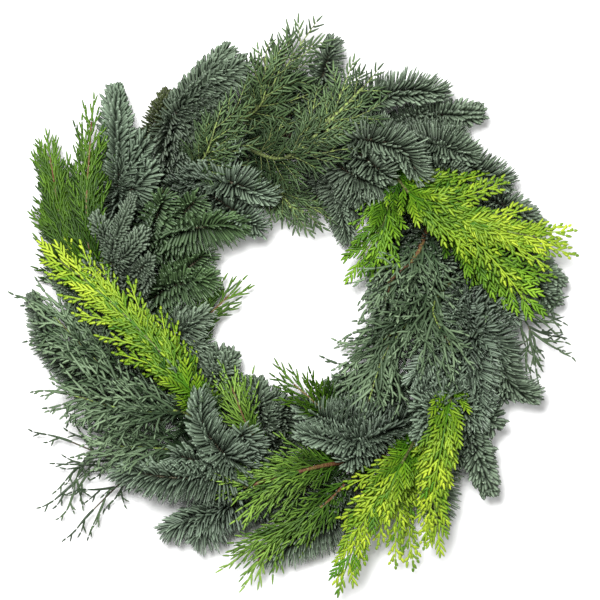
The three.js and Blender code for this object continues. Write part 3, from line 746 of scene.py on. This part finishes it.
def first_branchlets(line, bare, style, spread, ages, chance):
    """The branchlets on a shoot's own axis, longest low down and shortest at its tip."""
    pitch, longest, shortest, angle, width = style["orders"][0]
    longest = min(longest, max(line.length * spread, shortest))
    count = max(int((line.length - bare) / pitch * HANDS), FIRST_ORDER["least"])
    number = np.arange(count)
    share = ((number + FIRST_ORDER["seat"]) / count) ** FIRST_ORDER["crowding"]
    seats = line.frames(bare + (line.length - bare) * share)
    length = shortening(share, longest, shortest)
    length = length * chance.normal(1, FIRST_ORDER["length_spread"], count)
    angle = np.where(number == count - 1, FIRST_ORDER["end_angle"], angle)
    age = ages[0] + (ages[1] - ages[0]) * share
    tone = chance.normal(MIDDLE_TONE, FIRST_ORDER["tone_spread"], count)
    return side_rods(seats, number, angle, length, width, style, tone, age, chance)


def next_branchlets(parents, order, style, chance):
    """The next order of branchlets, on alternate sides of each parent rod, and at its end."""
    pitch, longest, shortest, angle, width = style["orders"][order]
    count = np.maximum((parents.length / pitch * HANDS - 1).astype(int), NEXT_ORDER["least"])
    owner = np.repeat(np.arange(len(count)), count)
    number = np.arange(len(owner)) - np.repeat(np.cumsum(count) - count, count)
    share = (number + 1) / count[owner]
    seats = parents.at(owner, np.minimum(share, NEXT_ORDER["seat"]))
    length = shortening(share, longest, shortest)
    length = np.minimum(length, parents.length[owner] * NEXT_ORDER["share"])
    length = length * chance.normal(1, NEXT_ORDER["length_spread"], len(owner))
    angle = np.where(number == count[owner] - 1, NEXT_ORDER["end_angle"], angle)
    youth = parents.youth[owner] + (1 - parents.youth[owner]) * NEXT_ORDER["younger"] * share
    tone = parents.tone[owner] + chance.normal(0, NEXT_ORDER["tone_spread"], len(owner))
    return side_rods(seats, number, angle, length, width, style, tone, youth, chance)


def add_frond(build, line, bare, style, spread, ages, chance):
    """All orders of branchlets on a line, from its bare length on."""
    branchlets = first_branchlets(line, bare, style, spread, ages, chance)
    build.add_rods(branchlets, TWIGLET_SHAPE, style["first"])
    for order in range(1, len(style["orders"])):
        branchlets = next_branchlets(branchlets, order, style, chance)
        build.add_rods(branchlets, LEAF_SHAPE)


# ---- Effects that several materials share ----

# How far a colour is mixed in: that of older leaves in patches, and the deepest one as painted shade over
# each root
PATCH_SHADE = 0.2
ROOT_PAINTED_SHADE = 0.85


def new_group(name, inputs, outputs):
    """A node group, the outputs of its first node, and its last node."""
    tree = bpy.data.node_groups.new(name, "ShaderNodeTree")
    for label, value in inputs.items():
        kind = "Color" if isinstance(value, tuple) else "Float"
        socket = tree.interface.new_socket(label, in_out="INPUT", socket_type=f"NodeSocket{kind}")
        socket.default_value = value
    for label, kind in outputs.items():
        tree.interface.new_socket(label, in_out="OUTPUT", socket_type=f"NodeSocket{kind}")
    return tree, tree.nodes.new("NodeGroupInput").outputs, tree.nodes.new("NodeGroupOutput")


def feed(tree, node, **values):
    """Gives a node's inputs a colour, a number or another node's output. Returns its outputs."""
    for name, value in values.items():
        socket = node.inputs[name.replace("_", " ")]
        if isinstance(value, bpy.types.NodeSocket):
            tree.links.new(value, socket)
        else:
            socket.default_value = (*value, 1) if isinstance(value, tuple) else value
    return node.outputs


def attribute(tree, name):
    node = tree.nodes.new("ShaderNodeAttribute")
    node.attribute_name = name
    return node.outputs["Fac"]


def blend(tree, factor, first, second):
    """A mix of two colours, each given as a colour or as a socket."""
    node = tree.nodes.new("ShaderNodeMix")
    node.data_type = "RGBA"
    return feed(tree, node, Factor=factor, A=first, B=second)["Result"]


def ramp(tree, factor, low, high, first=0, last=1):
    """first below low, last above high, smooth between."""
    node = tree.nodes.new("ShaderNodeMapRange")
    node.interpolation_type = "SMOOTHSTEP"
    limits = dict(From_Min=low, From_Max=high, To_Min=first, To_Max=last)
    return feed(tree, node, Value=factor, **limits)["Result"]


def reckon(tree, operation, *values):
    node = tree.nodes.new("ShaderNodeMath")
    node.operation = operation
    for value, socket in zip(values, node.inputs):
        tree.links.new(value, socket)
    return node.outputs["Value"]


def noise(tree, scale, detail=2):
    place = tree.nodes.new("ShaderNodeTexCoord").outputs["Object"]
    node = tree.nodes.new("ShaderNodeTexNoise")
    return feed(tree, node, Vector=place, Scale=scale, Detail=detail)["Fac"]


def foliage_tones_group():
    """The colour of leaves: each its own tone, paler and yellower with youth, in patches,
    and darker over its root length with painted shade."""
    inputs = {name: (0.1, 0.2, 0.1, 1) for name in ("Deep", "Grown", "Young")}
    inputs |= {"Patch Size": 30, "Root Length": 8}
    tree, given, results = new_group("foliage_tones", inputs, {"Color": "Color"})
    tone = ramp(tree, attribute(tree, "tone"), low=0.05, high=0.95)
    youth = ramp(tree, attribute(tree, "youth"), low=0.15, high=0.95)
    old = blend(tree, tone, given["Deep"], given["Grown"])
    young = blend(tree, tone, given["Grown"], given["Young"])
    colour = blend(tree, youth, old, young)
    patch = ramp(tree, noise(tree, given["Patch Size"]), low=0.3, high=0.7)
    colour = blend(tree, patch, blend(tree, PATCH_SHADE, colour, old), colour)
    # Painted shade: the deep colour mixed in over each rod's root length
    from_root = reckon(tree, "DIVIDE", attribute(tree, "measure"), given["Root Length"])
    out = ramp(tree, from_root, low=0.1, high=1)
    painted_shade_colour = blend(tree, ROOT_PAINTED_SHADE, colour, given["Deep"])
    feed(tree, results, Color=blend(tree, out, painted_shade_colour, colour))
    return tree


def surface_grain_group():
    """Fine unevenness: a height for the bump and a roughness that follows it."""
    tree, given, results = new_group(
        "surface_grain", {"Scale": 800, "Roughness": 0.5}, {"Height": "Float", "Roughness": "Float"},
    )
    grain = noise(tree, given["Scale"])
    change = ramp(tree, grain, low=0.3, high=0.7, first=0.8, last=1.2)
    feed(tree, results, Height=grain, Roughness=reckon(tree, "MULTIPLY", change, given["Roughness"]))
    return tree


def scale_rows_group():
    """Scale leaves in rows along a branchlet: a height for the bump and a shade between them."""
    tree, given, results = new_group(
        "scale_rows", {"Spacing": 1.6}, {"Height": "Float", "Shade": "Float"},
    )
    rows = reckon(tree, "DIVIDE", attribute(tree, "measure"), given["Spacing"])
    along = reckon(tree, "FRACT", rows)
    shade = ramp(tree, along, low=0, high=0.3, first=1, last=0)
    feed(tree, results, Height=ramp(tree, along, low=0, high=1), Shade=shade)
    return tree


FOLIAGE_TONES = foliage_tones_group()
SURFACE_GRAIN = surface_grain_group()
SCALE_ROWS = scale_rows_group()


def use_group(tree, group, **given):
    node = tree.nodes.new("ShaderNodeGroup")
    node.node_tree = group
    return feed(tree, node, **given)


# ---- Materials ----

# Fir needles by kind or tint: their deepest colour, also painted as shade over their roots,
# their grown and young colours, the young one also painted as a highlight along their tops, and their wax
NEEDLES = {
    "fir": dict(
        name="noble_fir_needles", deep=(0.003, 0.006, 0.002), grown=(0.021, 0.037, 0.018),
        young=(0.27, 0.355, 0.245), bloom=(0.26, 0.32, 0.24),
    ),
    "pale": dict(
        name="pale_fir_needles", deep=(0.003, 0.007, 0.002), grown=(0.025, 0.044, 0.022),
        young=(0.285, 0.38, 0.268), bloom=(0.27, 0.345, 0.265),
    ),
    "dark": dict(
        name="dark_fir_needles", deep=(0.004, 0.012, 0.002), grown=(0.024, 0.054, 0.016),
        young=(0.145, 0.24, 0.10), bloom=(0.20, 0.28, 0.17),
    ),
    "olive": dict(
        name="olive_fir_needles", deep=(0.006, 0.010, 0.003), grown=(0.030, 0.042, 0.014),
        young=(0.12, 0.15, 0.06), bloom=(0.16, 0.20, 0.11),
    ),
}

# Scale leaves by kind or tint: the same colours, and where they aren't 2 mm, the spacing
# of their rows and how far the deep colour, painted as shade, reaches from a branchlet's root
LEAVES = {
    "gold": dict(
        name="golden_cypress_leaves", deep=(0.008, 0.045, 0.001), grown=(0.085, 0.25, 0.007),
        young=(0.58, 0.70, 0.045), root=0.5,
    ),
    "fresh": dict(
        name="fresh_green_cypress_leaves", deep=(0.006, 0.030, 0.001), grown=(0.055, 0.17, 0.007),
        young=(0.28, 0.50, 0.025), root=0.5,
    ),
    "green": dict(
        name="green_cypress_leaves", deep=(0.003, 0.014, 0.001), grown=(0.060, 0.16, 0.012),
        young=(0.35, 0.56, 0.09),
    ),
    "deep": dict(
        name="deep_green_cypress_leaves", deep=(0.001, 0.007, 0.0005), grown=(0.020, 0.070, 0.002),
        young=(0.13, 0.27, 0.010),
    ),
    "cedar": dict(
        name="dark_cedar_leaves", deep=(0.004, 0.012, 0.003), grown=(0.028, 0.056, 0.019),
        young=(0.17, 0.27, 0.11), rows=9,
    ),
    "dim": dict(
        name="dim_cedar_threads", deep=(0.006, 0.014, 0.004), grown=(0.030, 0.055, 0.024),
        young=(0.11, 0.17, 0.08),
    ),
    "blue": dict(
        name="thread_cedar_leaves", deep=(0.003, 0.010, 0.002), grown=(0.040, 0.078, 0.032),
        young=(0.28, 0.39, 0.225),
    ),
}

# Bark by name: its colours at a stem's foot and at its tip
BARKS = {
    "fir_bark": dict(foot=(0.10, 0.06, 0.035), tip=(0.10, 0.10, 0.05)),
    "young_green_stems": dict(foot=(0.10, 0.09, 0.03), tip=(0.22, 0.34, 0.06)),
    "red_brown_stems": dict(foot=(0.22, 0.07, 0.03), tip=(0.16, 0.16, 0.04)),
    "pale_cedar_stems": dict(foot=(0.13, 0.16, 0.05), tip=(0.26, 0.36, 0.09)),
}

# How deep relief is in metres, how far the shade between rows is mixed in, how dark the
# flecks of bark are, and the shine of leaves and of enamel
RELIEF_DEPTH = 0.0003
ROW_SHADE = 0.25
BARK_SHADE = 0.5
LEAF_SHINE = 0.3
ENAMEL_SHEEN = 0.3
ENAMEL = dict(dark=(0.02, 0.06, 0.03), pale=(0.04, 0.1, 0.05))


def new_material(name, roughness, grain_scale=900, bump=0.3):
    """A material with a fine grain in its roughness and relief."""
    material = bpy.data.materials.new(name)
    material.use_nodes = True
    tree = material.node_tree
    shader = tree.nodes["Principled BSDF"]
    grain = use_group(tree, SURFACE_GRAIN, Scale=grain_scale, Roughness=roughness)
    relief = tree.nodes.new("ShaderNodeBump")
    feed(tree, relief, Height=grain["Height"], Strength=bump, Distance=RELIEF_DEPTH)
    feed(tree, shader, Roughness=grain["Roughness"], Normal=relief.outputs["Normal"])
    return material, tree, shader, relief


def needle_material(name, deep, grown, young, bloom):
    """Waxy needles: pale along their tops, partly wax bloom and partly a painted highlight, and pale bands of
    wax below.
    """
    material, tree, shader, _ = new_material(name, roughness=0.36)
    # Painted shade in the deep colour reaches about 22 mm from each needle's root
    tones = use_group(
        tree, FOLIAGE_TONES, Deep=deep, Grown=grown, Young=young, Patch_Size=24, Root_Length=22,
    )
    under = attribute(tree, "under")
    # Painted highlight and wax bloom along each needle's top, in the young colour
    top_bloom_and_highlight = ramp(tree, under, low=0.02, high=0.42, first=0.65, last=0)
    bands = ramp(tree, under, low=0.6, high=0.95, first=0, last=0.7)
    colour = blend(tree, top_bloom_and_highlight, tones["Color"], young)
    feed(tree, shader, Base_Color=blend(tree, bands, colour, bloom))
    return material


def leaf_material(name, deep, grown, young, rows=2, root=2):
    """Scale leaves, darker and greener low on the spray and paler towards its tips."""
    material, tree, shader, relief = new_material(name, roughness=0.5)
    tones = use_group(
        tree, FOLIAGE_TONES, Deep=deep, Grown=grown, Young=young, Patch_Size=30, Root_Length=root,
    )
    scales = use_group(tree, SCALE_ROWS, Spacing=rows)
    # Painted shade: the deep colour mixed in between rows of scales and, in the tones, over each root
    painted_shade_colour = blend(tree, scales["Shade"], tones["Color"], deep)
    colour = blend(tree, ROW_SHADE, tones["Color"], painted_shade_colour)
    feed(tree, shader, Base_Color=colour, Specular_IOR_Level=LEAF_SHINE)
    feed(tree, relief, Height=scales["Height"])
    return material


def bark_material(name, foot, tip):
    """Bark that turns younger towards the stem's tip, with darker flecks."""
    material, tree, shader, _ = new_material(name, roughness=0.7, grain_scale=500, bump=0.6)
    youth = ramp(tree, attribute(tree, "youth"), low=0.1, high=0.7)
    dark = tuple(value * BARK_SHADE for value in foot)
    flecks = ramp(tree, noise(tree, scale=400, detail=3), low=0.4, high=0.65)
    colour = blend(tree, youth, foot, tip)
    feed(tree, shader, Base_Color=blend(tree, flecks, dark, colour))
    return material


def enamel_material():
    material, tree, shader, _ = new_material(
        "green_enamelled_steel", roughness=0.4, grain_scale=200, bump=0.1,
    )
    clouds = ramp(tree, noise(tree, scale=120, detail=3), low=0.3, high=0.7)
    colour = blend(tree, clouds, ENAMEL["dark"], ENAMEL["pale"])
    feed(tree, shader, Base_Color=colour, Metallic=ENAMEL_SHEEN)
    return material


# ---- The wreath ----

# The slot of each kind, and its bark where a spray has none of its own
KINDS = {
    "fir": ("noble_fir", "fir_bark"),
    "gold": ("golden_cypress", "young_green_stems"),
    "green": ("green_cypress", "red_brown_stems"),
    "cedar": ("dark_cedar", "pale_cedar_stems"),
    "blue": ("thread_cedar", "young_green_stems"),
}


def make_fir(build, spray, axis, chance):
    """A fir spray: needles on its stem, its shoots and its side twigs."""
    lines = [(axis, FIR_AXIS)]
    lines += [(shoot_axis(axis, shoot, spray["layer"]), FIR_SHOOT) for shoot in spray.get("shoots", [])]
    if not spray.get("plain"):
        lines += [(line, FIR_TWIG) for line in side_twigs(axis, spray["layer"], chance)]
    for line, sizes in lines:
        build.add_twig(line, sizes["foot"], sizes["tip"])
        build.add_rods(fir_needles(line, sizes["bare"], spray, chance), NEEDLE_SHAPE)


def own_orders(orders, sparse, slender):
    """The orders of branchlets as a spray's own sparse and slender values change them."""
    slim = SPARSE_WIDTH if sparse < 1 else 1
    orders = [
        (pitch / sparse, longest, shortest, angle, width * slim)
        for pitch, longest, shortest, angle, width in orders
    ]
    pitch, longest, shortest, angle, width = orders[0]
    return [(pitch, max(longest * slender, shortest), shortest, angle, width), *orders[1:]]


def make_cypress(build, kind, spray, axis, chance):
    """A flat spray: fronds along its stem, side shoots and fans."""
    slender = spray.get("slender", 1)
    style = dict(FRONDS[kind])
    for orders in ("orders", "fan_orders"):
        if orders in style:
            style[orders] = own_orders(style[orders], spray.get("sparse", 1), slender)
    build.add_twig(axis, FROND_AXIS["foot"], spray.get("stem_tip", FROND_AXIS["tip"]))
    add_frond(build, axis, FROND_AXIS["bare"], style, AXIS_SPREAD * slender, AXIS_AGES, chance)
    for shoot in spray.get("shoots", []):
        line = shoot_axis(axis, shoot, spray["layer"])
        build.add_twig(line, FROND_SHOOT["foot"], FROND_SHOOT["tip"])
        add_frond(build, line, FROND_SHOOT["bare"], style, AXIS_SPREAD, SHOOT_AGES, chance)
    fan_style = dict(style, orders=style.get("fan_orders", style["orders"]))
    for fan in spray.get("fans", []):
        line = fan_axis(axis, fan, spray["layer"])
        build.add_twig(line, FAN["foot"], FAN["tip"], style["first"])
        youth = spray.get("ripe", 0) + fan[0]
        ages = (youth * FAN_FOOT_GAIN, min(FAN_TIP_LEAST + youth * FAN_TIP_GAIN, 1))
        add_frond(build, line, FAN["bare"], fan_style, FAN_SPREAD * slender, ages, chance)


def make_sprays():
    """Every spray in place of its solid, each with random draws of its own."""
    foliage = {tint: needle_material(**looks) for tint, looks in NEEDLES.items()}
    foliage |= {tint: leaf_material(**looks) for tint, looks in LEAVES.items()}
    barks = {name: bark_material(name, **colours) for name, colours in BARKS.items()}
    for number, (name, spray) in enumerate(SPRAYS.items(), start=1):
        kind = name.split("_")[0]
        chance = np.random.default_rng(number)
        build = Build()
        axis = spray_axis(spray)
        if kind == "fir":
            make_fir(build, spray, axis, chance)
        else:
            make_cypress(build, kind, spray, axis, chance)
        slot, bark = KINDS[kind]
        materials = foliage[spray.get("tint", kind)], barks[spray.get("bark", bark)]
        build.finish(name, materials)


def paint_ring():
    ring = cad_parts["clamp_ring"]
    ring.data.materials.clear()
    ring.data.materials.append(enamel_material())


# ---- Camera, floor and light ----

# The view is VIEW_WIDTH wide at FOLIAGE_HEIGHT, and shifted a little to the right
CAMERA_HEIGHT = 2.6
FOLIAGE_HEIGHT = 0.05
VIEW_WIDTH = 0.6
VIEW_SHIFT = 0.005
FLOOR_HALF_WIDTH = 4
FLOOR_DROP = 0.0005
FLOOR_PALEST = (0.955, 0.955, 0.955)
FLOOR_DARKEST = (0.945, 0.945, 0.945)
ROOM_LIGHT = 0.15


def set_camera():
    """Looks straight down on the wreath, its top up, as the photograph does."""
    camera = add_object("camera", bpy.data.cameras.new("camera"))
    camera.data.lens = camera.data.sensor_width * (CAMERA_HEIGHT - FOLIAGE_HEIGHT) / VIEW_WIDTH
    camera.location = (RING_MIDDLE[0] * MM + VIEW_SHIFT, RING_MIDDLE[1] * MM, CAMERA_HEIGHT)
    bpy.context.scene.camera = camera


def set_floor():
    bm = bmesh.new()
    bmesh.ops.create_grid(bm, x_segments=1, y_segments=1, size=FLOOR_HALF_WIDTH)
    bmesh.ops.translate(bm, verts=bm.verts, vec=(0, 0, -FLOOR_DROP))
    mesh = bpy.data.meshes.new("floor")
    bm.to_mesh(mesh)
    bm.free()
    material, tree, shader, _ = new_material("pale_floor", roughness=0.9, grain_scale=40, bump=0.02)
    clouds = noise(tree, scale=6, detail=3)
    feed(tree, shader, Base_Color=blend(tree, clouds, FLOOR_DARKEST, FLOOR_PALEST))
    mesh.materials.append(material)
    floor = add_object("floor", mesh)


def add_lamp(name, place, size, power):
    """A round lamp that is turned to the wreath."""
    lamp = add_object(name, bpy.data.lights.new(name, "AREA"))
    lamp.data.shape = "DISK"
    lamp.data.size = size
    lamp.data.energy = power
    lamp.location = place
    x, y, z = place
    lamp.rotation_euler = (math.atan2(math.hypot(x, y), z), 0, math.atan2(-x, y))


def set_light():
    """The lamps, and a little light from all round."""
    add_lamp("key_softbox", place=(-0.35, 0.6, 2.45), size=0.9, power=122)
    add_lamp("fill_softbox", place=(1.2, -0.6, 2.2), size=1.6, power=32)
    world = bpy.data.worlds.new("studio")
    world.use_nodes = True
    background = world.node_tree.nodes["Background"]
    background.inputs["Color"].default_value = (1, 1, 1, 1)
    background.inputs["Strength"].default_value = ROOM_LIGHT
    bpy.context.scene.world = world
    bpy.context.scene.view_settings.view_transform = "Standard"


set_camera()
set_floor()
set_light()
paint_ring()
make_sprays()
